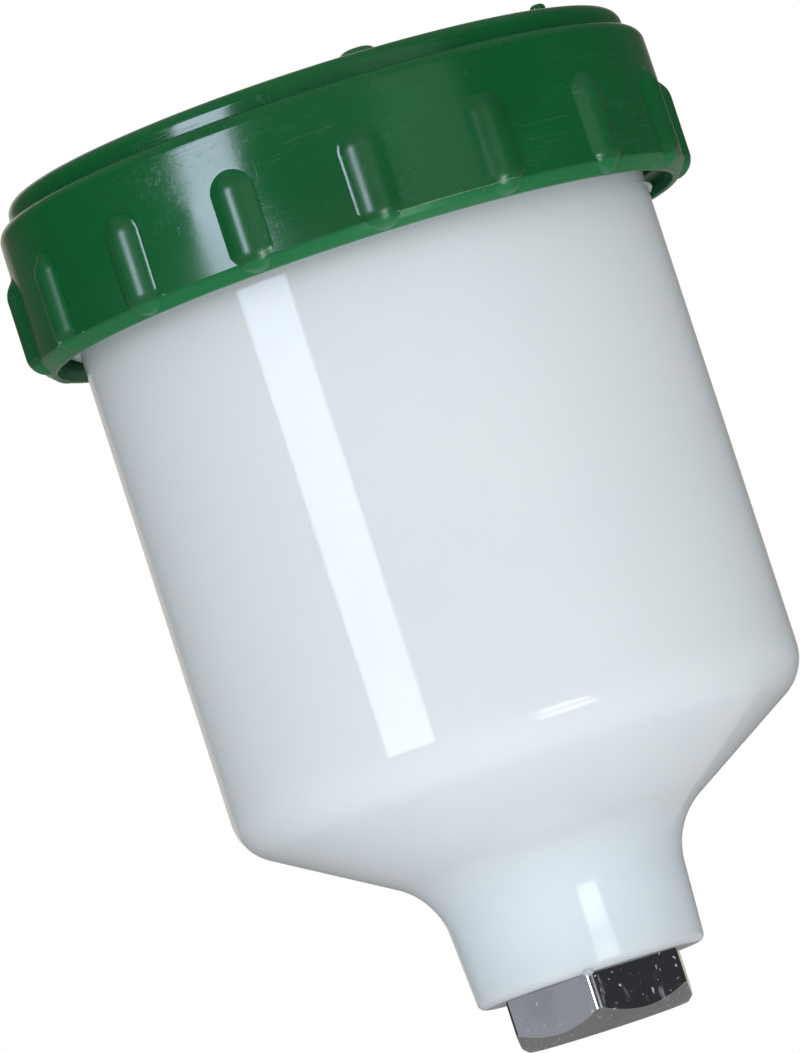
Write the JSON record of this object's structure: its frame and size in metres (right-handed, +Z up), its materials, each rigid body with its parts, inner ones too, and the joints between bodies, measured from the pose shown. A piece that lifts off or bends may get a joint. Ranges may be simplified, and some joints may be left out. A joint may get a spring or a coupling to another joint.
{
  "type": "gravity-feed paint cup",
  "caption": "Gravity-feed spray gun paint cup: white nylon barrel with a cone and neck, a plated hexagon insert, and a ribbed green screw lid with a vent shutter.",
  "frame": {"origin": "centre of the hexagon insert's lower face", "axes": "+Z up the cup's axis towards the lid, -Y towards the viewer of the picture"},
  "size_m": [0.0824, 0.0824, 0.1177],
  "materials": {
    "cup_nylon": "smooth moulded nylon",
    "plated_metal": "bright plated brass",
    "strainer_plastic": "moulded",
    "strainer_gauze": "woven",
    "lid_green": "smooth moulded, lightly scuffed",
    "seal": "soft foam plastic",
    "drip_plastic": "moulded",
    "vent_green": "smooth moulded"
  },
  "bodies": {
    "cup": {"cup_body": "cup_nylon", "thread_insert": "plated_metal"},
    "strainer": {"strainer_frame": "strainer_plastic", "strainer_gauze": "strainer_gauze"},
    "seal": {"lid_gasket": "seal"},
    "lid": {"lid": "lid_green", "drip_disc": "drip_plastic", "vent_stud": "vent_green"},
    "shutter": {"vent_shutter": "vent_green"}
  },
  "joints": [
    {"name": "lid_rise", "type": "slide", "parent": "cup", "child": "seal", "axis": [0, 0, 1], "range_m": [0, 0.02]},
    {"name": "lid_turn", "type": "hinge", "parent": "seal", "child": "lid", "pos_m": [0, 0, 0.1107], "axis": [0, 0, 1], "range_deg": [0, 1440]},
    {"name": "vent_swing", "type": "hinge", "parent": "lid", "child": "shutter", "pos_m": [0.007, -0.014, 0.1143], "axis": [0, 0, 1], "range_deg": [0, 110]},
    {"name": "strainer_lift", "type": "slide", "parent": "cup", "child": "strainer", "axis": [0, 0, 1], "range_m": [0, 0.055]}
  ],
  "couplings": [
    {"joint": "lid_rise", "follows": "lid_turn", "m_per_rad": 0.00079577}
  ]
}
